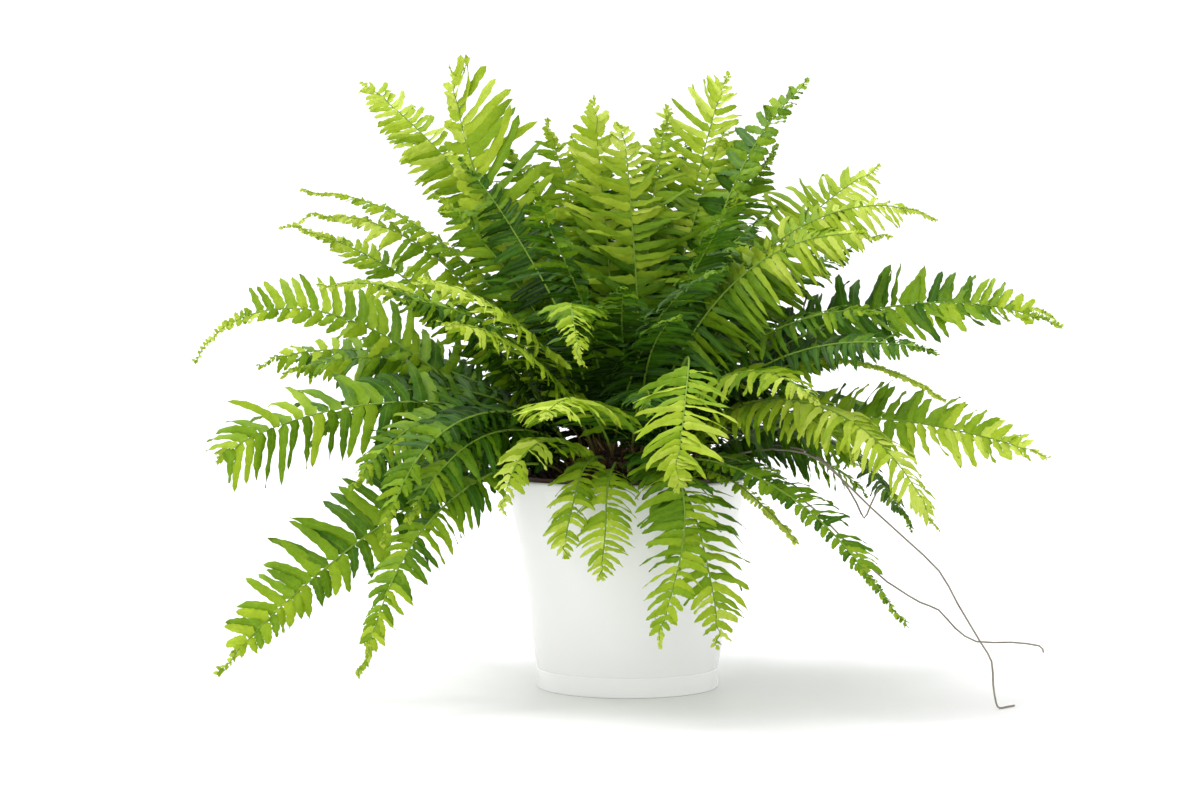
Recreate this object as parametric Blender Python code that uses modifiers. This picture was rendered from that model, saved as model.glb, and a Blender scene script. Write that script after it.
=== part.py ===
"""Potted sword fern in a plain white planter.

Metres, +Z up. The origin is at the middle of the planter's underside. Azimuths are in degrees:
0 points along +X, 90 along +Y.
"""

import itertools
import math

import bpy
from mathutils import Vector
from mathutils.bvhtree import BVHTree

GAP = 0.0003  # left between pieces that touch

# Planter: a tapered wall on a short upright foot band
RIM_RADIUS = 0.0805
FOOT_RADIUS = 0.0597
POT_HEIGHT = 0.138
FOOT_HEIGHT = 0.0128
POT_WALL = 0.0028
POT_FLOOR = 0.0040
LIP = 0.0009  # rounding of the rim
GROOVE = 0.0005  # depth of the fine line above the foot band
POT_STEPS = 48

# Nursery pot, which stands on the planter's floor
NURSERY_TOP = 0.1405
NURSERY_RADIUS = 0.0735
NURSERY_BASE_RADIUS = 0.0520
NURSERY_WALL = 0.0012
NURSERY_LIP_RADIUS = 0.0765
NURSERY_LIP_HEIGHT = 0.0060
NURSERY_STEPS = 40

# Soil and the crown of rhizomes on it
SOIL_TOP = 0.1310
SOIL_EDGE = 0.1270
CROWN_RADIUS = 0.0500
CROWN_HEIGHT = 0.0240
SOIL_STEPS = 32

# Fronds
MIDRIB = 0.0024  # thickness along the middle
LEAF_EDGE = 0.0008  # thickness at the leaflet tips
STALK_HALF = 0.0020
TIP_HALF = 0.0025
STALK_SHARE = 0.10  # of the length, below the first leaflets
STATIONS = 20
NOTCH = 0.16  # how far the edge steps in between leaflet tips, as a share of the width
CREASE = 0.12  # how far the leaflet tips hang below the midrib, as a share of the width
ROOT_LIFT = 0.0026  # from the crown's surface to a stalk's lower end
CLEARANCE = 0.0004

# Runners
RUNNER_RADIUS = 0.0006

# One row for each frond. Root: azimuth and distance in mm from the crown's centre. Midrib: heading
# at the root, sway of the heading to the left by the tip, length in mm, elevation at the root and
# at the tip, and how late it bends. Blade: half width in mm, and roll about the midrib by its
# middle. Rows further down give way to the rows above them.
FRONDS = (
    # The tall ones that make the top of the outline
    (170, 14, 162, -50, 290, 59, 65, 1.0, 36, 50),
    (145, 18, 141, 0, 338, 70, 30, 1.0, 27, 25),
    (150, 32, 147, 0, 300, 79, 26, 1.0, 24, 30),
    (115, 22, 112, 0, 238, 87, 72, 1.2, 34, 0),
    (60, 10, 104, 0, 230, 86, 42, 3.0, 24, 0),
    (50, 30, 50, 0, 270, 87, 57, 1.4, 34, -20),
    (5, 12, 30, 0, 280, 80, 36, 2.0, 26, -30),
    (12, 32, 28, 0, 258, 80, 22, 1.0, 27, -40),
    (350, 30, 7, 0, 278, 72, -26, 1.9, 25, -40),
    (330, 34, 355, 0, 240, 72, -15, 1.8, 23, -40),
    # Right side, from high to low
    (352, 38, 356, 0, 288, 68, -24, 0.9, 26, -50),
    (8, 40, 4, 0, 276, 54, -10, 1.0, 24, -45),
    (345, 42, 345, 0, 242, 42, -22, 0.6, 25, -50),
    (330, 36, 332, 0, 215, 62, -36, 1.0, 11, -30),
    (322, 42, 327, 0, 236, 84, -68, 0.65, 28, -12),
    (318, 42, 320, 0, 226, 38, -52, 0.45, 12, -30),
    (305, 42, 316, 0, 118, 42, -44, 0.4, 10, -20),
    # Front
    (282, 40, 297, 0, 168, 46, -88, 0.45, 17, 0),
    (296, 34, 302, -84, 203, 44, -74, 0.5, 18, 0),
    (330, 24, 286, -40, 252, 80, -78, 1.0, 30, 0),
    (250, 38, 250, 0, 110, 42, -85, 0.65, 11, 0),
    (262, 38, 262, 0, 116, 44, -86, 0.55, 12, 0),
    (254, 32, 254, 0, 168, 46, -22, 1.0, 30, 0),
    (232, 16, 243, 45, 235, 80, -55, 1.2, 28, 0),
    (221, 24, 221, 0, 200, 69, 5, 1.0, 26, 15),
    (228, 30, 228, 0, 175, 64, 0, 1.0, 25, 20),
    # Left side, from high to low
    (180, 26, 170, 0, 264, 66, -8, 2.3, 22, 35),
    (160, 34, 162, 0, 268, 72, 14, 0.8, 22, 35),
    (192, 34, 186, 0, 218, 74, -12, 1.4, 16, 35),
    (180, 44, 180, 0, 286, 48, -62, 2.6, 26, 50),
    (192, 42, 187, 0, 252, 76, -30, 0.45, 28, 50),
    (170, 42, 172, 0, 240, 62, -22, 1.0, 25, 45),
    (195, 42, 193, 0, 270, 21, -50, 0.4, 25, 50),
    (217, 44, 218, 0, 226, 48, -77, 0.5, 22, 30),
    (210, 38, 214, 0, 204, 66, -82, 0.8, 25, 30),
    (238, 40, 238, 0, 130, 56, -70, 0.9, 17, 15),
    # Inner ones that fill the bush
    (105, 20, 105, 0, 240, 78, 45, 1.0, 28, 0),
    (165, 20, 148, 0, 225, 77, 42, 1.0, 26, 20),
    (68, 22, 68, 0, 235, 79, 42, 1.0, 27, -10),
    (24, 30, 24, 0, 215, 72, 18, 1.0, 25, -25),
    (205, 30, 200, 0, 180, 66, 16, 1.0, 25, 25),
    (300, 16, 300, 0, 195, 76, 8, 1.0, 26, -10),
    (334, 30, 334, 0, 215, 60, -12, 1.0, 25, -35),
    (320, 18, 346, 0, 190, 76, 24, 1.2, 25, -35),
    (125, 38, 122, 0, 255, 74, 30, 1.0, 27, 10),
    (275, 32, 275, 0, 150, 60, -32, 1.0, 25, 0),
    (202, 42, 202, 0, 156, 54, -58, 1.0, 24, 35),
    # The far side
    (60, 36, 60, 0, 270, 46, -40, 1.0, 26, 0),
    (85, 40, 85, 0, 280, 40, -52, 1.0, 26, 0),
    (112, 40, 112, 0, 270, 50, -40, 1.0, 26, 0),
    (135, 42, 135, 0, 260, 34, -60, 0.8, 25, 0),
    (38, 42, 38, 0, 250, 36, -56, 0.8, 25, 0),
    (152, 42, 152, 0, 245, 52, -20, 1.0, 25, 30),
)

# How a frond may give way to those already placed, in degrees and mm: swing in azimuth, lift in
# elevation, turn of the blade about its midrib, shift of the root outwards, and a step of the
# root around the crown
SWINGS = (0, 3, -3, 6, -6, 10, -10)
LIFTS = (0, 3, -3, 6, -6, 10, -10)
TURNS = (0, 10, -10, 20, -20, 35, -35)
SHIFTS = (0, 4, -4, 8, -8, 14)
STEPS_ROUND = (0, 25, -25, 50, -50)
COSTS = (1.0, 1.0, 0.25, 0.3, 0.1)  # how much a degree or mm of each counts

# The routes of the runners, from the crown over the rim
RUNNER_ROUTES = {
    "runner_1": (
        (0.050, -0.028, 0.148),
        (0.082, -0.045, 0.158),
        (0.112, -0.055, 0.157),
        (0.130, -0.058, 0.146),
        (0.154, -0.060, 0.123),
        (0.176, -0.065, 0.103),
        (0.197, -0.070, 0.083),
        (0.208, -0.076, 0.063),
        (0.221, -0.090, 0.040),
        (0.227, -0.096, 0.029),
        (0.2275, -0.100, 0.015),
        (0.229, -0.103, 0.004),
        (0.231, -0.1035, 0.0009),
        (0.236, -0.098, 0.0007),
        (0.242, -0.092, 0.0007),
    ),
    "runner_2": (
        (0.042, -0.040, 0.146),
        (0.066, -0.060, 0.152),
        (0.090, -0.070, 0.142),
        (0.105, -0.070, 0.131),
        (0.117, -0.070, 0.123),
        (0.156, -0.065, 0.083),
        (0.170, -0.063, 0.072),
        (0.186, -0.060, 0.062),
        (0.198, -0.060, 0.057),
        (0.209, -0.058, 0.045),
        (0.223, -0.054, 0.036),
        (0.246, -0.050, 0.035),
        (0.264, -0.048, 0.0325),
        (0.267, -0.047, 0.028),
    ),
    "runner_3": (
        (0.052, -0.014, 0.149),
        (0.086, -0.026, 0.160),
        (0.118, -0.034, 0.156),
        (0.136, -0.038, 0.141),
        (0.147, -0.040, 0.124),
        (0.152, -0.040, 0.114),
        (0.156, -0.040, 0.122),
        (0.161, -0.040, 0.133),
    ),
}

COLOURS = {
    "glaze": ((0.86, 0.87, 0.86), 0.22),
    "nursery_plastic": ((0.16, 0.045, 0.03), 0.5),
    "potting_mix": ((0.045, 0.028, 0.018), 0.95),
    "rhizome": ((0.11, 0.055, 0.03), 0.9),
    "leaf": ((0.16, 0.36, 0.035), 0.5),
    "wiry_stem": ((0.30, 0.22, 0.10), 0.6),
}


def clear_scene():
    for obj in list(bpy.data.objects):
        bpy.data.objects.remove(obj, do_unlink=True)


def make_material(name):
    colour, roughness = COLOURS[name]
    material = bpy.data.materials.new(name)
    material.use_nodes = True
    shader = material.node_tree.nodes["Principled BSDF"]
    shader.inputs["Base Color"].default_value = (*colour, 1.0)
    shader.inputs["Roughness"].default_value = roughness
    shader.inputs["Metallic"].default_value = 0.0
    return material


def add_object(name, data, material, collection):
    obj = bpy.data.objects.new(name, data)
    data.materials.append(material)
    collection.objects.link(obj)
    return obj


def turned(name, profile, steps, material, collection):
    """A solid turned about the Z axis, from (radius, height) points."""
    mesh = bpy.data.meshes.new(name)
    points = [(radius, 0.0, height) for radius, height in profile]
    mesh.from_pydata(points, [(i, i + 1) for i in range(len(points) - 1)], [])
    obj = add_object(name, mesh, material, collection)
    screw = obj.modifiers.new("Turn", "SCREW")
    screw.axis = "Z"
    screw.steps = steps
    screw.render_steps = steps
    screw.use_merge_vertices = True
    screw.merge_threshold = 0.00001
    screw.use_smooth_shade = True
    return obj


def planter_profile():
    foot_inner = FOOT_RADIUS - POT_WALL
    rim_inner = RIM_RADIUS - POT_WALL
    return (
        (0.0, POT_FLOOR),
        (foot_inner, POT_FLOOR),
        (foot_inner, FOOT_HEIGHT),
        (rim_inner, POT_HEIGHT - LIP),
        (rim_inner + LIP, POT_HEIGHT),
        (RIM_RADIUS - LIP, POT_HEIGHT),
        (RIM_RADIUS, POT_HEIGHT - LIP),
        (FOOT_RADIUS, FOOT_HEIGHT + 2 * GROOVE),
        (FOOT_RADIUS - GROOVE, FOOT_HEIGHT),
        (FOOT_RADIUS, FOOT_HEIGHT - 2 * GROOVE),
        (FOOT_RADIUS, LIP),
        (FOOT_RADIUS - LIP, 0.0),
        (0.0, 0.0),
    )


def nursery_profile():
    bottom = POT_FLOOR + GAP
    top_inner = NURSERY_RADIUS - NURSERY_WALL
    base_inner = NURSERY_BASE_RADIUS - NURSERY_WALL
    lip_low = NURSERY_TOP - NURSERY_LIP_HEIGHT
    return (
        (0.0, bottom + NURSERY_WALL),
        (base_inner, bottom + NURSERY_WALL),
        (top_inner, lip_low),
        (NURSERY_LIP_RADIUS - NURSERY_WALL, lip_low + 2 * NURSERY_WALL),
        (NURSERY_LIP_RADIUS - NURSERY_WALL, NURSERY_TOP),
        (NURSERY_LIP_RADIUS, NURSERY_TOP),
        (NURSERY_LIP_RADIUS, lip_low),
        (NURSERY_RADIUS, lip_low - NURSERY_WALL),
        (NURSERY_BASE_RADIUS, bottom),
        (0.0, bottom),
    )


def soil_profile():
    """The soil ends a gap short of the nursery pot's inner wall at every height."""
    bottom = POT_FLOOR + NURSERY_WALL + 2 * GAP
    wall_low = NURSERY_BASE_RADIUS - NURSERY_WALL
    wall_high = NURSERY_RADIUS - NURSERY_WALL
    share = (SOIL_EDGE - bottom) / (NURSERY_TOP - NURSERY_LIP_HEIGHT - bottom)
    edge = wall_low + share * (wall_high - wall_low) - 2 * GAP
    return (
        (0.0, SOIL_TOP),
        (CROWN_RADIUS + 0.002, SOIL_TOP),
        (edge, SOIL_EDGE),
        (wall_low - 2 * GAP, bottom),
        (0.0, bottom),
    )


def crown_height(radius):
    """Height of the crown's domed surface."""
    return SOIL_TOP + GAP + CROWN_HEIGHT * math.sqrt(max(0.0, 1 - (radius / CROWN_RADIUS) ** 2))


def crown_profile():
    """A low dome with a flat underside on the soil."""
    turns = [math.radians(angle) for angle in (90, 72, 54, 36, 20, 6)]
    dome = [(CROWN_RADIUS * math.cos(t), crown_height(CROWN_RADIUS * math.cos(t))) for t in turns]
    dome[0] = (0.0, dome[0][1])
    return (*dome, (CROWN_RADIUS, SOIL_TOP + GAP), (0.0, SOIL_TOP + GAP))


def half_width(along, widest):
    """A narrow stalk, then a blade that is broadest before its middle and tapers to the tip."""
    if along < STALK_SHARE:
        return STALK_HALF
    share = (along - STALK_SHARE) / (1 - STALK_SHARE)
    shape = min(1.0, (share / 0.15) ** 0.6) * (1 - share**2.6)
    return max(TIP_HALF, widest * shape)


def smooth(share):
    share = min(1.0, max(0.0, share))
    return share * share * (3 - 2 * share)


def frond_stations(row, swing, lift, twist, shift, step_round):
    """Midrib point, side direction, upper normal and half width at each station."""
    place, distance, aim, sway, length, rise, fall, bend, widest, roll = row
    root = max(0.004, (distance + shift) / 1000)
    spot = math.radians(place + swing + step_round)
    start = math.radians(aim + swing)
    point = Vector((root * math.cos(spot), root * math.sin(spot), crown_height(root)))
    step = length / 1000 / (STATIONS - 1)
    stations = []
    for i in range(STATIONS):
        along = i / (STATIONS - 1)
        heading = start + math.radians(sway) * along**1.5
        slope = math.radians(rise + lift + (fall - rise) * along**bend)
        ahead = Vector((math.cos(slope) * math.cos(heading),
                        math.cos(slope) * math.sin(heading),
                        math.sin(slope)))
        if i == 0:
            point += ROOT_LIFT * ahead
        else:
            point = point + step * (ahead + before) / 2
        level = Vector((math.sin(heading), -math.cos(heading), 0.0))
        upper = level.cross(ahead)
        turn = math.radians(roll + twist) * smooth(along / 0.5)
        side = math.cos(turn) * level + math.sin(turn) * upper
        normal = math.cos(turn) * upper - math.sin(turn) * level
        half = half_width(along, widest / 1000)
        if half > 3 * STALK_HALF and i % 2:
            half *= 1 - NOTCH
        stations.append((point.copy(), side, normal, half))
        before = ahead
    return stations


def strip(stations, margin=0.0):
    """The blade as rows of left edge, midrib and right edge."""
    points = []
    for point, side, normal, half in stations:
        reach = half + margin
        hang = CREASE * half * normal
        points += [point - reach * side - hang, point, point + reach * side - hang]
    faces = []
    for i in range(len(stations) - 1):
        low = 3 * i
        faces.append((low, low + 1, low + 4, low + 3))
        faces.append((low + 1, low + 2, low + 5, low + 4))
    return points, faces


def closed_strip(stations, margin):
    """The strip as a closed solid that is a margin thicker all round, to test for room."""
    points, faces = strip(stations, margin)
    upper = []
    lower = []
    for i, point in enumerate(points):
        thickness = MIDRIB if i % 3 == 1 else LEAF_EDGE
        offset = (thickness / 2 + margin) * stations[i // 3][2]
        upper.append(point + offset)
        lower.append(point - offset)
    count = len(points)
    flipped = [tuple(index + count for index in reversed(face)) for face in faces]
    last = count - 3
    rim = [(0, count, count + 1, 1), (1, count + 1, count + 2, 2),
           (last + 1, last + 1 + count, last + count, last),
           (last + 2, last + 2 + count, last + 1 + count, last + 1)]
    for i in range(len(stations) - 1):
        low = 3 * i
        rim.append((low, low + 3, low + 3 + count, low + count))
        rim.append((low + 2, low + 2 + count, low + 5 + count, low + 5))
    return upper + lower, faces + flipped + rim


def mesh_of(obj):
    """World points and faces of an object with its modifiers."""
    graph = bpy.context.evaluated_depsgraph_get()
    evaluated = obj.evaluated_get(graph)
    mesh = evaluated.to_mesh()
    points = [obj.matrix_world @ vertex.co for vertex in mesh.vertices]
    faces = [tuple(polygon.vertices) for polygon in mesh.polygons]
    evaluated.to_mesh_clear()
    return points, faces


def add_to(placed, points, faces):
    start = len(placed[0])
    placed[0].extend(points)
    placed[1].extend(tuple(index + start for index in face) for face in faces)


def ways_to_give():
    """Every way to give, the smallest moves first."""
    ways = itertools.product(SWINGS, LIFTS, TURNS, SHIFTS, STEPS_ROUND)
    return sorted(ways, key=lambda way: sum(abs(move) * cost for move, cost in zip(way, COSTS)))


def settle(row, placed):
    """The frond's stations at the first way in which it clears everything already placed."""
    tree = BVHTree.FromPolygons(placed[0], placed[1])
    for way in ways_to_give():
        stations = frond_stations(row, *way)
        trial = BVHTree.FromPolygons(*closed_strip(stations, CLEARANCE))
        if not trial.overlap(tree):
            return stations
    return None


def add_frond(name, stations, material, collection):
    """An open blade given its thickness by Solidify, full at the midrib and thin at the edges."""
    points, faces = strip(stations)
    mesh = bpy.data.meshes.new(name)
    mesh.from_pydata(points, [], faces)
    obj = add_object(name, mesh, material, collection)
    edge = obj.vertex_groups.new(name="thickness")
    for i in range(len(points)):
        edge.add([i], 1.0 if i % 3 == 1 else LEAF_EDGE / MIDRIB, "REPLACE")
    solid = obj.modifiers.new("Thickness", "SOLIDIFY")
    solid.thickness = MIDRIB
    solid.offset = 0.0
    solid.use_even_offset = False
    solid.vertex_group = "thickness"
    return obj


def smooth_route(route, spacing):
    """Points at an even spacing on a smooth curve through the route's points."""
    ends = [2 * Vector(route[0]) - Vector(route[1]), 2 * Vector(route[-1]) - Vector(route[-2])]
    knots = [ends[0], *(Vector(point) for point in route), ends[1]]
    path = []
    for a, b, c, d in zip(knots, knots[1:], knots[2:], knots[3:]):
        count = max(2, round((c - b).length / spacing))
        for i in range(count):
            t = i / count
            path.append(0.5 * (2 * b + (c - a) * t + (2 * a - 5 * b + 4 * c - d) * t**2
                               + (3 * b - a - 3 * c + d) * t**3))
    path.append(Vector(route[-1]))
    return path


def add_runner(name, route, material, collection):
    curve = bpy.data.curves.new(name, "CURVE")
    curve.dimensions = "3D"
    curve.bevel_depth = RUNNER_RADIUS
    curve.bevel_resolution = 2
    curve.use_fill_caps = True
    path = smooth_route(route, 0.012)
    spline = curve.splines.new("POLY")
    spline.points.add(len(path) - 1)
    for point, place in zip(spline.points, path):
        point.co = (*place, 1.0)
    return add_object(name, curve, material, collection)


def main():
    clear_scene()
    fern = bpy.data.collections.new("potted_fern")
    bpy.context.scene.collection.children.link(fern)
    materials = {name: make_material(name) for name in COLOURS}

    turned("outer_pot", planter_profile(), POT_STEPS, materials["glaze"], fern)
    turned("nursery_pot", nursery_profile(), NURSERY_STEPS, materials["nursery_plastic"], fern)
    turned("soil", soil_profile(), SOIL_STEPS, materials["potting_mix"], fern)
    turned("crown", crown_profile(), SOIL_STEPS, materials["rhizome"], fern)
    for name, route in RUNNER_ROUTES.items():
        add_runner(name, route, materials["wiry_stem"], fern)
    bpy.context.view_layer.update()

    placed = ([], [])
    for obj in fern.objects:
        add_to(placed, *mesh_of(obj))
    for number, row in enumerate(FRONDS, 1):
        stations = settle(row, placed)
        if stations is None:
            raise RuntimeError(f"frond {number} has no room")
        add_to(placed, *closed_strip(stations, 0.0))
        add_frond(f"frond_{number:02d}", stations, materials["leaf"], fern)


main()
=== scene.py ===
"""Looks of the potted sword fern: leaflets, stems, crown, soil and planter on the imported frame."""

import math
import random

import bpy
import numpy as np
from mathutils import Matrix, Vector, noise


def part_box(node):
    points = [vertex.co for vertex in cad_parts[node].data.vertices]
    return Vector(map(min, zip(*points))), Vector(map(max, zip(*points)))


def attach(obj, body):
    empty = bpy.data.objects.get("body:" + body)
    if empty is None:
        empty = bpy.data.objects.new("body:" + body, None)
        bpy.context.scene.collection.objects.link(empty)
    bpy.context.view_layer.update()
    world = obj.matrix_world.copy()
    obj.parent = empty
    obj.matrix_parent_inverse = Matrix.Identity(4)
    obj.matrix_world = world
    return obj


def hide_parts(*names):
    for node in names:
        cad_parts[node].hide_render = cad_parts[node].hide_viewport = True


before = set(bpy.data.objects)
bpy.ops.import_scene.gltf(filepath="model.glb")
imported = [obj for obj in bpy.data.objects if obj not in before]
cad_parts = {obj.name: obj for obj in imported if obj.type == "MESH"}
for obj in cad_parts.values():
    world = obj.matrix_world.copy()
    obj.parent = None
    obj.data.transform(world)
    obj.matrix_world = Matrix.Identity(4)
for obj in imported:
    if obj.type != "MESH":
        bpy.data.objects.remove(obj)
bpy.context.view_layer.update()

UP = np.array((0.0, 0.0, 1.0))

# Of the CAD blades: thickness at the midrib and at the edge, and how far the edges lie below the
# midrib as a share of the half width. A frond's course is read from its solid with them.
MIDRIB = 0.0024
LEAF_EDGE = 0.0008
CREASE = 0.12
MATCH = 2e-6  # how closely two points' distance has to match one of them
FRONDS = 53

# Leaflets: quads along and across one, the same for a bud, and their thickness
LEAFLET_GRID = (10, 4)
BUD_GRID = (4, 2)
THICKNESS = 0.00028
MISSING = 0.03  # share of the leaflets that a frond has lost
BUD_PITCH = 0.38  # of the leaflets' pitch

# Stems: radius at the tip, what the root adds to it, how far it reaches into the crown, samples
# from one station of the course to the next, and the share of a frond after which it is kinked
STEM_TIP = 0.00022
STEM_TAPER = 0.00082
STEM_IN_CROWN = 0.004
STEM_STEPS = 8
KINKED_AFTER = 0.88

# Seeds of the first frond with a node and of the first one without
FROND_SEED = 901
SPARE_SEED = 300

# How a frond looks, and how each of fronds 1 to 36 differs from the usual one.
# tint: 0 old and deep green, 1 young and yellow-green; a low tint also paints shade on the fronds
# deep in the bush. gain: change of tint along the frond.
# pitch: mm between leaflets on one side; fill: a leaflet's width as a share of the pitch.
# long: length of the leaflets as a multiple of the blade's half width; left, right: factors on
# that for one side.
# limp: how far the leaflets hang; lift: how much less they do by the tip; arch: factor on limp for
# leaflets that point upwards.
# lean: how far the leaflets point ahead, in radians; point: 0 strap-shaped, 1 tapering.
# blunt: how late the blade narrows; bud: share of the frond after which only buds are left; bare:
# share of it that is stalk without leaflets.
USUAL = dict(tint=0.45, gain=0.6, pitch=6.2, fill=0.96, long=1.42, left=1.0, right=1.0, limp=0.3,
             lift=0.0, arch=1.0, lean=0.1, point=0.35, blunt=3.8, bud=0.9, bare=0.06)
STYLES = {
    1: dict(tint=0.5, gain=0.95, pitch=9.0, fill=0.98, long=1.46, left=0.42, right=1.12,
            limp=0.04, lean=0.3, point=0.0, blunt=9.0, bud=0.975),
    2: dict(tint=0.55, gain=0.9, left=0.75, right=1.2, blunt=8.0, bud=0.96),
    3: dict(tint=0.54, gain=0.9, blunt=5.0),
    4: dict(tint=0.54, gain=0.95, pitch=7.0, long=1.1, limp=0.05, lean=0.22, point=0.2, blunt=4.5,
            bud=0.96),
    5: dict(tint=0.5, gain=0.9, long=1.5, limp=0.06, blunt=5.0, bud=0.96),
    6: dict(tint=0.52, gain=0.95, pitch=6.6, long=1.5, left=1.34, right=0.76, limp=0.08,
            lean=0.16, point=0.25, blunt=5.5, bud=0.95),
    7: dict(tint=0.3, gain=0.5, fill=1.2, long=1.55, right=0.4, point=0.1, blunt=7.0, bud=0.95),
    8: dict(tint=0.58, gain=0.85, pitch=5.6, long=1.7, left=1.3, limp=0.5, blunt=6.0, bud=0.95),
    9: dict(tint=0.56, gain=1.0, pitch=5.3, long=1.65, right=1.1, limp=0.5),
    10: dict(tint=0.48, gain=0.95, pitch=5.3, long=1.65, right=1.3, limp=0.5),
    11: dict(tint=0.24, gain=1.1, fill=1.18, long=1.54, limp=0.4, lift=1.1, point=0.08),
    12: dict(tint=0.54, long=1.1, limp=0.55, blunt=1.6),
    13: dict(tint=0.58, gain=0.8, pitch=6.8, fill=1.32, long=1.52, limp=0.16, lift=0.4, point=0.6,
             bud=0.94),
    14: dict(tint=0.62, pitch=3.4, fill=0.95, long=0.34, blunt=1.3, bud=0.5),
    15: dict(tint=0.78, pitch=5.4, long=1.3, blunt=5.0, bud=0.95),
    16: dict(tint=0.4, gain=0.3, pitch=6.0, long=1.1, left=2.15, right=0.8, bud=0.78, bare=0.16),
    17: dict(tint=0.74, pitch=3.6, long=0.7, bud=0.7),
    18: dict(tint=0.52, pitch=6.8, long=1.7, left=1.36, lean=-0.12, blunt=5.0, bud=0.95),
    19: dict(tint=0.5, pitch=6.4, long=1.34, right=1.36, lean=-0.12, blunt=5.0, bud=0.95),
    20: dict(tint=0.52, gain=0.8, pitch=5.4, long=1.12, limp=0.12, lean=-0.05, blunt=5.0,
             bare=0.62),
    21: dict(tint=0.62, pitch=4.6, long=1.6, right=1.3, lean=-0.05, blunt=5.0, bud=0.94,
             bare=0.26),
    22: dict(tint=0.64, pitch=4.6, long=1.85, lean=-0.05, blunt=5.5, bud=0.95, bare=0.26),
    23: dict(tint=0.62, gain=0.8, bare=0.2),
    24: dict(tint=0.4, gain=0.8, pitch=5.4, long=1.0),
    25: dict(tint=0.72, gain=0.8, pitch=6.4, bare=0.2),
    26: dict(tint=0.66, gain=0.8, pitch=6.4, bare=0.25),
    27: dict(tint=0.54, long=1.3, limp=0.55, bud=0.78),
    28: dict(tint=0.5, long=1.25, lift=0.5, bud=0.8),
    29: dict(tint=0.64, pitch=5.5),
    30: dict(tint=0.56, pitch=8.0, long=1.3, left=0.7, right=1.45, limp=0.7, lift=1.5, blunt=2.6,
             bud=0.8),
    31: dict(tint=0.38, pitch=8.8, fill=0.88, long=1.25, left=1.2, right=1.25, limp=1.3, arch=0.2,
             blunt=14.0, bud=0.94),
    32: dict(tint=0.42, pitch=9.0, fill=0.82, long=1.7, limp=0.85, arch=0.5, point=0.6),
    33: dict(tint=0.42, pitch=7.8, fill=1.12, long=1.46, left=0.76, right=1.45, limp=0.2,
             arch=-1.0),
    34: dict(tint=0.44, pitch=5.2, fill=1.05, long=1.34, right=0.95, blunt=3.0, bare=0.2),
    35: dict(tint=0.24, gain=0.8, left=0.46, right=0.85, bare=0.14),
    36: dict(tint=0.76),
}

# The fronds inside the bush and on its far side, 37 to 53, and those that have no solid
# Their low tint is painted shade: it darkens the inside of the bush beyond what the lamps give.
INNER = dict(tint=0.08, pitch=5.0, long=1.18)
SPARE = dict(pitch=5.2, long=1.26)
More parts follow.
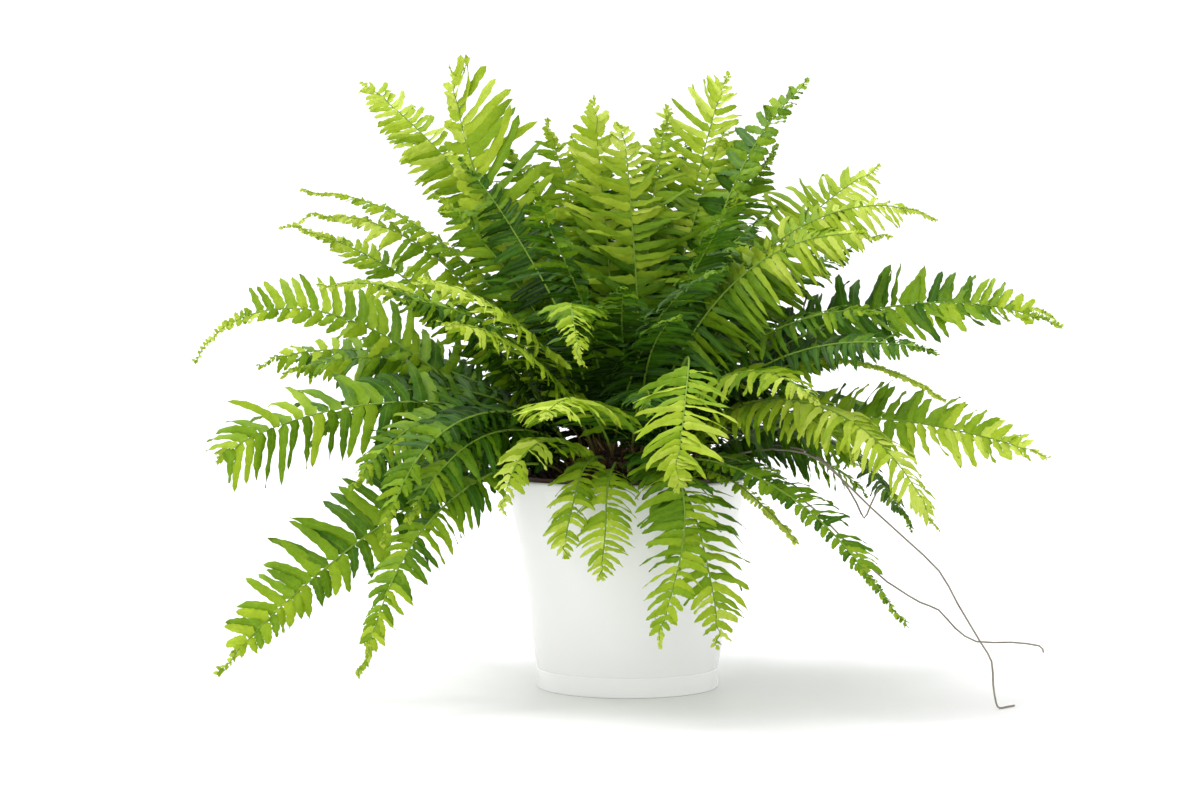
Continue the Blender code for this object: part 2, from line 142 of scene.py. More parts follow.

# Small fronds that fill the bush between the ones above. One row each. Root: azimuth and distance
# in mm from the crown's centre. Midrib: heading, sway by the tip, length in mm, elevation at the
# root and at the tip, and how late it bends. Blade: half width in mm, roll, and tint; the low tints
# of the fronds deep in the bush are painted shade.
SPARE_FRONDS = (
    # Upright ones
    (100, 12, 100, 20, 215, 86, 60, 1.2, 30, 0, 0.18),
    (60, 16, 75, -20, 225, 82, 55, 1.0, 30, -10, 0.20),
    (140, 20, 135, 0, 235, 80, 50, 1.0, 30, 15, 0.32),
    (20, 18, 30, 0, 230, 80, 48, 1.0, 29, -20, 0.28),
    (170, 24, 160, 0, 210, 76, 38, 1.0, 29, 25, 0.32),
    (350, 22, 5, 0, 215, 74, 30, 1.0, 29, -30, 0.34),
    (250, 10, 200, 60, 200, 84, 40, 1.0, 28, 10, 0.18),
    (290, 12, 330, -40, 205, 82, 35, 1.0, 28, -15, 0.20),
    (80, 30, 85, 0, 225, 72, 20, 1.0, 28, 0, 0.22),
    (120, 30, 118, 0, 230, 70, 15, 1.0, 28, 5, 0.22),
    (130, 16, 128, 0, 236, 84, 60, 1.0, 32, 10, 0.50),
    (70, 14, 66, 0, 238, 86, 66, 1.0, 31, 0, 0.48),
    (40, 20, 44, 0, 236, 84, 58, 1.0, 31, -15, 0.46),
    (110, 26, 108, 0, 232, 80, 56, 1.0, 31, 0, 0.48),
    (166, 22, 164, 0, 285, 62, 0, 1.8, 14, 20, 0.54),
    # Half way down
    (200, 22, 205, 0, 190, 70, 0, 1.0, 27, 25, 0.26),
    (330, 24, 335, 0, 195, 68, -5, 1.0, 27, -30, 0.26),
    (262, 12, 268, 0, 165, 80, 10, 1.0, 24, 0, 0.08),
    (285, 20, 282, 0, 160, 76, 0, 1.0, 24, 0, 0.10),
    (310, 28, 312, 0, 175, 66, -35, 1.0, 27, -15, 0.62),
    (325, 34, 324, 0, 165, 60, -50, 0.9, 25, -30, 0.60),
    (12, 36, 14, 0, 205, 64, -5, 1.0, 27, -40, 0.28),
    (188, 36, 190, 0, 200, 60, -45, 0.9, 26, 40, 0.24),
    (202, 38, 206, 0, 185, 58, -60, 0.9, 26, 35, 0.30),
    (215, 38, 218, 0, 165, 56, -68, 0.8, 24, 30, 0.24),
    (175, 38, 176, 0, 215, 58, -20, 0.9, 25, 40, 0.32),
    # Low ones over the front rim
    (318, 42, 322, 0, 100, 42, -46, 0.7, 18, -20, 0.32),
    (345, 42, 350, 0, 125, 48, -30, 0.7, 21, -30, 0.28),
    (206, 42, 203, 0, 112, 42, -50, 0.7, 19, 25, 0.30),
    (190, 42, 188, 0, 130, 44, -46, 0.7, 21, 30, 0.26),
    # The far side
    (30, 40, 30, 0, 200, 52, -35, 0.9, 26, 0, 0.28),
    (50, 40, 52, 0, 190, 46, -45, 0.9, 26, 0, 0.28),
    (75, 40, 74, 0, 200, 56, -30, 0.9, 26, 0, 0.32),
    (98, 40, 96, 0, 185, 44, -50, 0.9, 26, 0, 0.26),
    (120, 40, 122, 0, 200, 54, -35, 0.9, 26, 0, 0.32),
    (145, 40, 147, 0, 190, 46, -45, 0.9, 26, 0, 0.28),
    (160, 40, 163, 0, 130, 42, -45, 0.7, 21, 25, 0.26),
    (0, 42, 5, 0, 130, 42, -45, 0.7, 21, -25, 0.26),
    (60, 42, 62, 0, 110, 40, -50, 0.7, 20, 0, 0.28),
)
SPARE_IN_A_PIECE = 5
SPARE_STATIONS = 20


# Mesh building

class Build:
    """Points, faces, rim flags and leaf attributes of one growing mesh."""

    def __init__(self):
        self.points, self.faces, self.rims, self.marks = [], [], [], []
        self.count = 0

    def add(self, points, faces, rim, marks):
        self.points.append(points)
        self.faces.append(faces + self.count)
        self.rims.append(rim)
        self.marks.append(marks)
        self.count += len(points)

    def mesh(self, name):
        points = np.concatenate(self.points).astype(np.float32)
        faces = np.concatenate(self.faces).astype(np.int32)
        rim = np.concatenate(self.rims)
        marks = np.concatenate(self.marks).astype(np.float32)
        mesh = bpy.data.meshes.new(name)
        mesh.vertices.add(len(points))
        mesh.vertices.foreach_set("co", points.ravel())
        mesh.loops.add(faces.size)
        mesh.loops.foreach_set("vertex_index", faces.ravel())
        mesh.polygons.add(len(faces))
        mesh.polygons.foreach_set("loop_start", np.arange(0, faces.size, 4, dtype=np.int32))
        mesh.update(calc_edges=True)
        mesh.validate()
        mesh.polygons.foreach_set("use_smooth", np.ones(len(mesh.polygons), dtype=bool))
        ends = np.empty(len(mesh.edges) * 2, dtype=np.int32)
        mesh.edges.foreach_get("vertices", ends)
        sharp = rim[ends.reshape(-1, 2)].all(axis=1)
        mesh.attributes.new("sharp_edge", "BOOLEAN", "EDGE").data.foreach_set("value", sharp)
        colour = mesh.attributes.new("leaf", "FLOAT_COLOR", "POINT")
        colour.data.foreach_set("color", marks.ravel())
        mesh.update()
        return mesh


def closed_grid(rows, columns):
    """Faces of an upper and a lower grid that share their outline, and which points are on it."""
    def upper(i, j):
        return i * (columns + 1) + j

    def lower(i, j):
        if i in (0, rows) or j in (0, columns):
            return upper(i, j)
        return (rows + 1) * (columns + 1) + (i - 1) * (columns - 1) + j - 1

    faces = []
    for i in range(rows):
        for j in range(columns):
            corners = ((i, j), (i + 1, j), (i + 1, j + 1), (i, j + 1))
            faces.append([upper(*corner) for corner in corners])
            faces.append([lower(*corner) for corner in reversed(corners)])
    total = (rows + 1) * (columns + 1) + (rows - 1) * (columns - 1)
    rim = np.zeros(total, dtype=bool)
    for i in range(rows + 1):
        for j in range(columns + 1):
            rim[upper(i, j)] = i in (0, rows) or j in (0, columns)
    return np.array(faces), rim


GRIDS = {size: closed_grid(*size) for size in (LEAFLET_GRID, BUD_GRID)}


def unit(vectors):
    """The vectors, or the one vector, at length 1."""
    return vectors / np.linalg.norm(vectors, axis=-1, keepdims=True)


def add_leaflet(build, rng, size, base, out, ahead, normal, side, length, width, lean, limp, tint,
                point):
    """One thin closed leaflet. out points away from the midrib, ahead along it, normal upwards
    from the blade, and side is 1 on the right of the midrib and -1 on the left."""
    rows, columns = size
    along = np.linspace(0, 1, rows + 1)

    # Its course leans ahead, curls down at the tip and hangs under its weight
    angle = lean + rng.uniform(-0.21, 0.21) + along * rng.uniform(0.0, 0.66)
    course = np.cos(angle)[:, None] * out + np.sin(angle)[:, None] * ahead
    droop = rng.uniform(-0.22, 0.50) * along + rng.uniform(0.0, 1.1) * along**5
    course = unit(course - droop[:, None] * normal)
    limp = limp * rng.uniform(0.7, 1.3)
    course = unit(course - (limp * (0.25 + along))[:, None] * UP)
    steps = (course[1:] + course[:-1]) / 2 * length / rows
    centre = base + np.concatenate((np.zeros((1, 3)), np.cumsum(steps, axis=0)))

    # It twists about its course
    across = unit(ahead - (course @ ahead)[:, None] * course)
    twist = rng.uniform(-0.70, 0.35) + along * rng.uniform(-0.9, 0.7)
    turned = np.cos(twist)[:, None] * across + np.sin(twist)[:, None] * np.cross(course, across)
    face = side * np.cross(course, turned)

    # Its outline is a strap or a taper with a wavy edge, a round end and a lobe at its base
    point = point + rng.uniform(-0.15, 0.15)
    shape = np.minimum(1.0, 0.45 + along * 7) * (1 - (0.16 + 0.42 * point) * along)
    shape = shape * np.sqrt(1 - 0.996 * along ** (5.5 - 2.6 * point))
    wave = 1 + 0.085 * np.where(np.arange(rows + 1) % 2, 1.0, -1.0)
    half = width / 2 * shape * wave
    lobe = 0.35 * width / 2 * np.exp(-(((along - 0.10) / 0.07) ** 2))
    spread = np.linspace(-1, 1, columns + 1)
    reach = half[:, None] * spread + lobe[:, None] * np.clip(spread, 0, 1) ** 2
    phase = rng.uniform(0, 6.3)
    ripple = 0.10 * width * np.sin(along * 14 + phase)[:, None] * spread**2 * np.sign(spread)
    rise = -0.16 * half[:, None] * spread**2 + ripple
    upper = centre[:, None] + reach[:, :, None] * turned[:, None] + rise[:, :, None] * face[:, None]
    inner = upper[1:-1, 1:-1] - THICKNESS * face[1:-1, None]
    points = np.concatenate((upper.reshape(-1, 3), inner.reshape(-1, 3)))

    # Leaf marks: place along it, place across it, tint, and 0 for leaf or 1 for stem
    marks = np.empty((rows + 1, columns + 1, 4))
    marks[..., 0] = along[:, None]
    marks[..., 1] = (spread + 1) / 2
    marks[..., 2] = tint
    marks[..., 3] = 0.0
    inner_marks = marks[1:-1, 1:-1].reshape(-1, 4)
    marks = np.concatenate((marks.reshape(-1, 4), inner_marks))
    faces, rim = GRIDS[size]
    build.add(points, faces if side > 0 else faces[:, ::-1], rim, marks)


def add_tube(build, path, radii, tints, sides=6):
    """A closed tube along a path. Its ends close on small rings."""
    path = np.asarray(path, dtype=float)
    count = len(path)
    tangent = unit(np.gradient(path, axis=0))
    guide = np.array((0.0, 0.0, 1.0)) if abs(tangent[0][2]) < 0.9 else np.array((1.0, 0.0, 0.0))
    across = unit(np.cross(tangent[0], guide))
    rings = []
    turn = np.linspace(0, 2 * math.pi, sides, endpoint=False)
    for i in range(count):
        across = unit(across - (across @ tangent[i]) * tangent[i])
        other = np.cross(tangent[i], across)
        circle = np.cos(turn)[:, None] * across + np.sin(turn)[:, None] * other
        rings.append(path[i] + radii[i] * circle)
    points = np.concatenate(rings)
    faces = []
    for i in range(count - 1):
        for j in range(sides):
            a, b = i * sides + j, i * sides + (j + 1) % sides
            faces.append((a, b, b + sides, a + sides))
    last = (count - 1) * sides
    for j in range(1, sides - 2, 2):
        faces.append((0, j + 2, j + 1, j))
        faces.append((last, last + j, last + j + 1, last + j + 2))
    marks = np.zeros((len(points), 4))
    marks[:, 0] = np.repeat(np.linspace(0, 1, count), sides)
    marks[:, 1] = 0.5
    marks[:, 2] = np.repeat(tints, sides)
    marks[:, 3] = 1.0
    build.add(points, np.array(faces), np.zeros(len(points), dtype=bool), marks)


# Reading a frond's course from its CAD solid

def pairs_apart(points, distance):
    """Middles of all pairs of points that lie this distance apart, and their differences."""
    gaps = np.linalg.norm(points[:, None] - points[None], axis=2)
    first, second = np.where(np.triu(np.abs(gaps - distance) < MATCH, 1))
    return (points[first] + points[second]) / 2, points[first] - points[second]


def read_course(node):
    """Midrib points, sides, upper normals and half widths, from the root to the tip."""
    points = np.array([vertex.co[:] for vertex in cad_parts[node].data.vertices])
    points = np.unique(np.round(points, 7), axis=0)
    middles, normals = pairs_apart(points, MIDRIB)
    edges, _ = pairs_apart(points, LEAF_EDGE)
    normals = unit(normals)

    # The midrib's stations in order: each is the nearest of those left, from the crown outwards
    root = np.array((0.0, 0.0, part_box("crown")[0].z))
    here = int(np.argmin(np.linalg.norm(middles - root, axis=1)))
    order, left = [here], set(range(len(middles))) - {here}
    while left:
        here = min(left, key=lambda i: np.linalg.norm(middles[i] - middles[here]))
        order.append(here)
        left.remove(here)
    middles, normals = middles[order], normals[order]

    # A station's chord joins two edge points whose middle lies below the midrib by the crease. That
    # also tells which way is up
    first, second = np.triu_indices(len(edges), 1)
    chords = edges[second] - edges[first]
    widths = np.linalg.norm(chords, axis=1)
    between = (edges[first] + edges[second]) / 2
    tangents = np.gradient(middles, axis=0)
    sides, halves = [], []
    for i, (point, normal) in enumerate(zip(middles, normals)):
        best = None
        for sign in (1, -1):
            hang = point - sign * CREASE * widths[:, None] / 2 * normal
            error = np.linalg.norm(between - hang, axis=1)
            k = int(np.argmin(error))
            if best is None or error[k] < best[0]:
                best = (error[k], k, sign)
        _, k, sign = best
        normals[i] = sign * normal
        side = chords[k] / widths[k]
        if np.cross(normals[i], side) @ tangents[i] < 0:
            side = -side
        sides.append(side)
        halves.append(widths[k] / 2)
    return middles, np.array(sides), normals, np.array(halves)


def smooth_through(values, steps):
    """Catmull-Rom samples through rows of values."""
    ends = [2 * values[0] - values[1], *values, 2 * values[-1] - values[-2]]
    found = []
    for a, b, c, d in zip(ends, ends[1:], ends[2:], ends[3:]):
        for i in range(steps):
            t = i / steps
            found.append(0.5 * (2 * b + (c - a) * t + (2 * a - 5 * b + 4 * c - d) * t**2
                                + (3 * b - a - 3 * c + d) * t**3))
    found.append(values[-1])
    return np.array(found)


def crown_surface(radius):
    """Height of the crown's dome at a distance from its axis."""
    low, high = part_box("crown")
    return low.z + (high.z - low.z) * math.sqrt(max(0.0, 1 - (radius / high.x) ** 2))


def spare_course(row):
    """The same four arrays as read_course, for a small frond with no solid of its own."""
    place, distance, aim, sway, length, rise, fall, bend, widest, roll, _ = row
    root, spot, start = distance / 1000, math.radians(place), math.radians(aim)
    point = np.array((root * math.cos(spot), root * math.sin(spot), crown_surface(root)))
    step = length / 1000 / (SPARE_STATIONS - 1)
    found, before = [], None
    for i in range(SPARE_STATIONS):
        along = i / (SPARE_STATIONS - 1)
        heading = start + math.radians(sway) * along**1.5
        slope = math.radians(rise + (fall - rise) * along**bend)
        ahead = np.array((math.cos(slope) * math.cos(heading),
                          math.cos(slope) * math.sin(heading), math.sin(slope)))
        if before is not None:
            point = point + step * (ahead + before) / 2
        level = np.array((math.sin(heading), -math.cos(heading), 0.0))
        upper = np.cross(level, ahead)
        rolled = min(1.0, along / 0.5)
        turn = math.radians(roll) * rolled * rolled * (3 - 2 * rolled)
        side = math.cos(turn) * level + math.sin(turn) * upper
        normal = math.cos(turn) * upper - math.sin(turn) * level
        found.append((point, side, normal, widest / 1000))
        before = ahead
    return [np.array(values) for values in zip(*found)]


def add_frond(build, rng, course, style):
    """A frond on its course: a tapered stem, two rows of leaflets and a kinked, budding tip."""
    middles, sides, normals, halves = course
    path = smooth_through(middles, STEM_STEPS)
    place = np.linspace(0, len(middles) - 1, len(path))
    stations = np.arange(len(middles))
    side = np.stack([np.interp(place, stations, sides[:, k]) for k in range(3)], axis=1)
    upper = np.stack([np.interp(place, stations, normals[:, k]) for k in range(3)], axis=1)
    length = float(np.linalg.norm(np.diff(path, axis=0), axis=1).sum())
    share = np.linspace(0, 1, len(path))

    # The blade widens over its first sixth and narrows towards the tip
    blade = np.clip((share - style["bare"]) / (1 - style["bare"]), 0, 1)
    wide = halves.max() * np.minimum(1.0, 0.35 + (blade / 0.16) ** 0.7 * 0.65)
    wide = wide * (1 - blade ** style["blunt"])

    # The last stretch of a young tip is not straight but kinked
    kink = np.clip((share - KINKED_AFTER) / (1 - KINKED_AFTER), 0, 1)
    kink = kink * rng.uniform(0.0012, 0.0028)
    phase, turns = rng.uniform(0, 6.3), rng.uniform(70, 95)
    path = path + (kink * np.sin(share * turns + phase))[:, None] * unit(side)
    path = path + (kink * np.cos(share * turns * 0.7 + phase))[:, None] * unit(upper)

    # All of it waves a little from side to side
    sway = rng.uniform(0.0, 6.3)
    path = path + (0.0010 * np.sin(share * 11 + sway) * share)[:, None] * unit(side)
    tangent = unit(np.cross(upper, side))
    side = unit(side)
    upper = unit(np.cross(side, tangent))

    def at(where, values):
        return np.array([np.interp(where, share, values[:, k]) for k in range(3)])

    radii = STEM_TAPER * (1 - share) ** 0.8 + STEM_TIP
    brown = np.clip(0.9 - share * 7, 0, 1)
    start = path[0] - STEM_IN_CROWN * tangent[0]
    add_tube(build, np.concatenate((start[None], path)), np.concatenate((radii[:1], radii)),
             np.concatenate((brown[:1], brown)))

    # Leaflets in pairs, the left ones half a pitch on, then closer buds up to the tip
    pitch = style["pitch"] / 1000
    where = style["bare"]
    while where < 0.995:
        tip = where > style["bud"]
        late = max(0.0, (where - 0.55) / 0.45)
        for half_step, hand in ((0.0, 1), (0.5, -1)):
            spot = where + half_step * pitch / length * (BUD_PITCH if tip else 1)
            if spot > 0.998 or (not tip and rng.random() < MISSING):
                continue
            base, out = at(spot, path), hand * unit(at(spot, side))
            ahead, normal = unit(at(spot, tangent)), unit(at(spot, upper))
            reach = float(np.interp(spot, share, wide))
            tint = style["tint"] + style["gain"] * (spot - 0.5) + rng.uniform(-0.19, 0.19)
            lean = style["lean"] + 0.20 * spot + 0.45 * late**2
            limp = style["limp"] - style["lift"] * spot
            if out @ UP > 0.05:
                limp = limp * style["arch"]
            if tip:
                small = max(rng.uniform(0.0026, 0.0044), 0.7 * reach)
                broad = min(small * rng.uniform(0.7, 0.95), 0.0048)
                add_leaflet(build, rng, BUD_GRID, base, out, ahead, normal, hand, small, broad,
                            lean + rng.uniform(-0.5, 0.5), limp, tint + 0.05, style["point"])
            else:
                long = reach * style["long"] * rng.uniform(0.84, 1.10)
                long = long * style["right" if hand > 0 else "left"]
                broad = min(pitch * style["fill"] * rng.uniform(0.86, 1.12), long * 0.66)
                add_leaflet(build, rng, LEAFLET_GRID, base, out, ahead, normal, hand, long,
                            broad * (1 - 0.22 * late), lean, limp, tint, style["point"])
        where += pitch / length * (BUD_PITCH if tip else 1 - 0.24 * late)


def make_fronds(material):
    """One piece for each frond that has a node, then the others, a few to a piece."""
    for number in range(1, FRONDS + 1):
        node = f"frond_{number:02d}"
        build = Build()
        style = dict(USUAL, **STYLES.get(number, INNER))
        rng = random.Random(FROND_SEED - 1 + number)
        add_frond(build, rng, read_course(node), style)
        link_build(build, f"leaves_{number:02d}", material, "leaf", node)
    for first in range(0, len(SPARE_FRONDS), SPARE_IN_A_PIECE):
        build = Build()
        for number, row in enumerate(SPARE_FRONDS[first:first + SPARE_IN_A_PIECE], first):
            style = dict(USUAL, tint=row[-1], **SPARE)
            add_frond(build, random.Random(SPARE_SEED + number), spare_course(row), style)
        link_build(build, f"undergrowth_{first // SPARE_IN_A_PIECE + 1:02d}", material, "leaf")


# Materials

class Nodes:
    """A material and short calls that add and join its nodes."""

    def __init__(self, name):
        self.material = bpy.data.materials.new(name)
        self.material.use_nodes = True
        self.tree = self.material.node_tree
        self.tree.nodes.clear()
        self.output = self.add("ShaderNodeOutputMaterial")

    def add(self, kind, **settings):
        node = self.tree.nodes.new(kind)
        for key, value in settings.items():
            setattr(node, key, value)
        return node

    def put(self, socket, value):
        if hasattr(value, "is_output"):
            self.tree.links.new(value, socket)
        else:
            socket.default_value = value

    def math(self, operation, first, second=0.0, clamp=False):
        node = self.add("ShaderNodeMath", operation=operation, use_clamp=clamp)
        self.put(node.inputs[0], first)
        self.put(node.inputs[1], second)
        return node.outputs[0]

    def mix(self, share, first, second):
        node = self.add("ShaderNodeMix", data_type="RGBA")
        self.put(node.inputs["Factor"], share)
        self.put(node.inputs[6], first)
        self.put(node.inputs[7], second)
        return node.outputs[2]

    def noise(self, scale, detail=3.0, rough=0.5):
        place = self.add("ShaderNodeTexCoord")
        node = self.add("ShaderNodeTexNoise")
        self.put(node.inputs["Vector"], place.outputs["Object"])
        node.inputs["Scale"].default_value = scale
        node.inputs["Detail"].default_value = detail
        node.inputs["Roughness"].default_value = rough
        return node.outputs["Fac"]

    def ramp(self, value, *stops):
        node = self.add("ShaderNodeValToRGB")
        elements = node.color_ramp.elements
        while len(elements) < len(stops):
            elements.new(0.5)
        for element, (position, colour) in zip(elements, stops):
            element.position = position
            element.color = (*colour, 1.0)
        self.put(node.inputs[0], value)
        return node.outputs[0]

    def bump(self, height, strength, distance):
        node = self.add("ShaderNodeBump")
        node.inputs["Strength"].default_value = strength
        node.inputs["Distance"].default_value = distance
        self.put(node.inputs["Height"], height)
        return node.outputs[0]

    def principled(self, colour, rough, normal=None, **numbers):
        node = self.add("ShaderNodeBsdfPrincipled")
        self.put(node.inputs["Base Color"], colour)
        self.put(node.inputs["Roughness"], rough)
        if normal is not None:
            self.put(node.inputs["Normal"], normal)
        for key, value in numbers.items():
            node.inputs[key.replace("_", " ")].default_value = value
        return node.outputs[0]

    def finish(self, shader):
        self.put(self.output.inputs["Surface"], shader)
        return self.material


def leaf_material():
    n = Nodes("fern_leaf")
    mark = n.add("ShaderNodeAttribute", attribute_name="leaf")
    parts = n.add("ShaderNodeSeparateColor")
    n.put(parts.inputs[0], mark.outputs["Color"])
    along, across, tint = parts.outputs[0], parts.outputs[1], parts.outputs[2]
    woody = mark.outputs["Alpha"]
    cloud = n.noise(45.0, 3.0)
    fine = n.noise(420.0, 2.0)
    # Besides age, this value carries painted shade: the fronds deep in the bush come out in the dark
    # end of the green ramp.
    age_and_shade = n.math("ADD", tint, n.math("MULTIPLY", n.math("SUBTRACT", cloud, 0.5), 0.35))
    age_and_shade = n.math("ADD", age_and_shade, n.math("MULTIPLY", n.math("SUBTRACT", fine, 0.5), 0.18))
    green = n.ramp(age_and_shade, (0.0, (0.006, 0.036, 0.001)), (0.3, (0.042, 0.142, 0.002)),
                   (0.55, (0.215, 0.375, 0.009)), (0.8, (0.470, 0.600, 0.034)),
                   (1.0, (0.720, 0.800, 0.160)))
    off_rib = n.math("ABSOLUTE", n.math("SUBTRACT", across, 0.5))
    rib = n.math("SUBTRACT", 1.0, n.math("MULTIPLY", off_rib, 14.0), clamp=True)
    green = n.mix(n.math("MULTIPLY", rib, 0.28), green, (0.36, 0.46, 0.04, 1.0))
    dry = n.math("MULTIPLY", n.math("SUBTRACT", along, 0.90, clamp=True), 8.0)
    dry = n.math("MULTIPLY", dry, n.math("GREATER_THAN", cloud, 0.60), clamp=True)
    green = n.mix(dry, green, (0.17, 0.085, 0.025, 1.0))
    stem = n.ramp(n.math("ADD", tint, n.math("MULTIPLY", n.math("SUBTRACT", fine, 0.5), 0.5)),
                  (0.0, (0.17, 0.29, 0.030)), (0.5, (0.14, 0.13, 0.030)), (0.9, (0.10, 0.05, 0.02)))
    colour = n.mix(woody, green, stem)
    veins = n.math("SINE", n.math("SUBTRACT", n.math("MULTIPLY", along, 75.0),
                                  n.math("MULTIPLY", off_rib, 30.0)))
    height = n.math("ADD", n.math("MULTIPLY", veins, 0.35), n.math("MULTIPLY", rib, -1.0))
    bump = n.bump(height, 0.5, 0.00018)
    rough = n.math("ADD", 0.40, n.math("MULTIPLY", fine, 0.26))
    surface = n.principled(colour, rough, bump, Specular_IOR_Level=0.18)
    through = n.add("ShaderNodeBsdfTranslucent")
    glow = n.mix(0.40, colour, (0.60, 0.80, 0.01, 1.0))
    n.put(through.inputs["Color"], glow)
    blend = n.add("ShaderNodeMixShader")
    thin = n.math("ADD", 0.16, n.math("MULTIPLY", age_and_shade, 0.32), clamp=True)
    n.put(blend.inputs[0], n.math("MULTIPLY", n.math("SUBTRACT", 1.0, woody), thin))
    n.put(blend.inputs[1], surface)
    n.put(blend.inputs[2], through.outputs[0])
    return n.finish(blend.outputs[0])


def simple_material(name, stops, scale, rough, bump_scale, bump_size, **numbers):
    """Colour from noise through a ramp, with a second, finer noise as relief."""
    n = Nodes(name)
    colour = n.ramp(n.noise(scale, 4.0, 0.6), *stops)
    fine = n.noise(bump_scale, 3.0)
    roughness = n.math("ADD", rough, n.math("MULTIPLY", n.math("SUBTRACT", fine, 0.5), 0.2))
    return n.finish(n.principled(colour, roughness, n.bump(fine, 0.4, bump_size), **numbers))


# Planter, nursery pot, soil and crown

PLANTER_WALL = 0.0028
FOOT_RADIUS = 0.0597
FOOT_BAND = 0.0128  # height of the straight band at the planter's foot
NURSERY_WALL = 0.0012
NURSERY_TOP_RADIUS = 0.0735  # under the lip
NURSERY_BASE_RADIUS = 0.052
SOIL_BASE_RADIUS = 0.05
BED_LEVEL = 0.72  # share of the soil's radius out to which the bed is level
BED_SINK = 0.004  # how far it has sunk at the edge
CRUMBS = 620
SCALES = 420
STUBS = 64
STUB_STEPS = 8
PLANTER_STEPS = 144
INNER_STEPS = 96  # of the nursery pot, the soil and the crown


def turned(name, profile, steps, material):
    """A closed solid turned about Z from (radius, height) points that begin and end on the axis."""
    points, faces = [(0.0, 0.0, profile[0][1])], []
    rings = profile[1:-1]
    for radius, height in rings:
        for k in range(steps):
            turn = 2 * math.pi * k / steps
            points.append((radius * math.cos(turn), radius * math.sin(turn), height))
    points.append((0.0, 0.0, profile[-1][1]))
    last = len(points) - 1
    for k in range(steps):
        after = (k + 1) % steps
        faces.append((0, 1 + k, 1 + after))
        for r in range(len(rings) - 1):
            low, high = 1 + r * steps, 1 + (r + 1) * steps
            faces.append((low + k, high + k, high + after, low + after))
        end = 1 + (len(rings) - 1) * steps
        faces.append((end + after, end + k, last))
    mesh = bpy.data.meshes.new(name)
    mesh.from_pydata(points, [], faces)
    mesh.polygons.foreach_set("use_smooth", [True] * len(mesh.polygons))
    obj = bpy.data.objects.new(name, mesh)
    bpy.context.scene.collection.objects.link(obj)
    mesh.materials.append(material)
    return obj


def rounded(corners, steps=6):
    """A profile whose corners, (radius, height, rounding), are rounded off."""
    profile = []
    for i, (radius, height, bend) in enumerate(corners):
        here = Vector((radius, height))
        if bend == 0 or i in (0, len(corners) - 1):
            profile.append((radius, height))
            continue
        back = (Vector(corners[i - 1][:2]) - here).normalized() * bend
        on = (Vector(corners[i + 1][:2]) - here).normalized() * bend
        for k in range(steps + 1):
            t = k / steps
            spot = here + (1 - t) ** 2 * back + t**2 * on
            profile.append((spot.x, spot.y))
    return profile


def adopt(obj, node):
    """The piece rides on the one body and stands for a node."""
    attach(obj, "root")
    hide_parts(node)


def make_planter():
    """The glazed planter: a tapered wall with a rounded, stepped rim, on a straight foot band."""
    _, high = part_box("outer_pot")
    rim, top = high.x, high.z
    wall = PLANTER_WALL
    foot, band = FOOT_RADIUS, FOOT_BAND
    material = simple_material(
        "white_glaze", ((0.35, (0.82, 0.82, 0.82)), (0.65, (0.84, 0.84, 0.84))),
        9.0, 0.22, 300.0, 0.00003, Coat_Weight=0.4, Coat_Roughness=0.08)
    corners = [
        (0.0, 0.004, 0), (foot - wall, 0.004, 0.002), (foot - wall, band, 0.001),
        (rim - wall, top - 0.0002, 0.0009), (rim - wall + 0.0012, top, 0.0006),
        (rim - 0.0008, top, 0.0007), (rim, top - 0.0012, 0.0007),
        (rim - 0.0003, top - 0.0040, 0.0004), (rim - 0.0006, top - 0.0046, 0.0003),
        (foot + 0.0001, band + 0.0006, 0.0003), (foot - 0.0002, band, 0.0002),
        (foot, band - 0.0005, 0.0003), (foot, 0.0, 0.0010), (foot - 0.004, 0.0, 0.0004),
        (foot - 0.006, 0.0012, 0.0006), (0.0, 0.0012, 0)]
    planter = turned("planter", rounded(corners), PLANTER_STEPS, material)
    adopt(planter, "outer_pot")


def make_nursery_pot():
    """The thin plastic pot with a rolled lip that stands inside the planter."""
    low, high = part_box("nursery_pot")
    bottom, top, lip = low.z, high.z, high.x
    thick = NURSERY_WALL
    body, base = NURSERY_TOP_RADIUS, NURSERY_BASE_RADIUS
    material = simple_material(
        "nursery_plastic", ((0.3, (0.050, 0.016, 0.011)), (0.7, (0.095, 0.030, 0.020))),
        60.0, 0.45, 900.0, 0.00005)
    corners = [
        (0.0, bottom + thick, 0), (base - thick, bottom + thick, 0.001),
        (body - thick, top - 0.006, 0.0006), (lip - thick, top - 0.0040, 0.0006),
        (lip - thick, top, 0.0003), (lip, top, 0.0003), (lip, top - 0.006, 0.0004),
        (body, top - 0.0072, 0.0005), (base, bottom, 0.001), (0.0, bottom, 0)]
    pot = turned("nursery_pot_piece", rounded(corners, 4), INNER_STEPS, material)
    adopt(pot, "nursery_pot")


def rough_top(obj, top, amount, scale, seed):
    """Roughens the upper surface of a turned solid."""
    offset = Vector((seed, 3.1 * seed, 1.7 * seed))
    for vertex in obj.data.vertices:
        if vertex.co.z > top:
            here = vertex.co * scale + offset
            vertex.co.z += amount * (noise.noise(here) + 0.5 * noise.noise(2.7 * here))


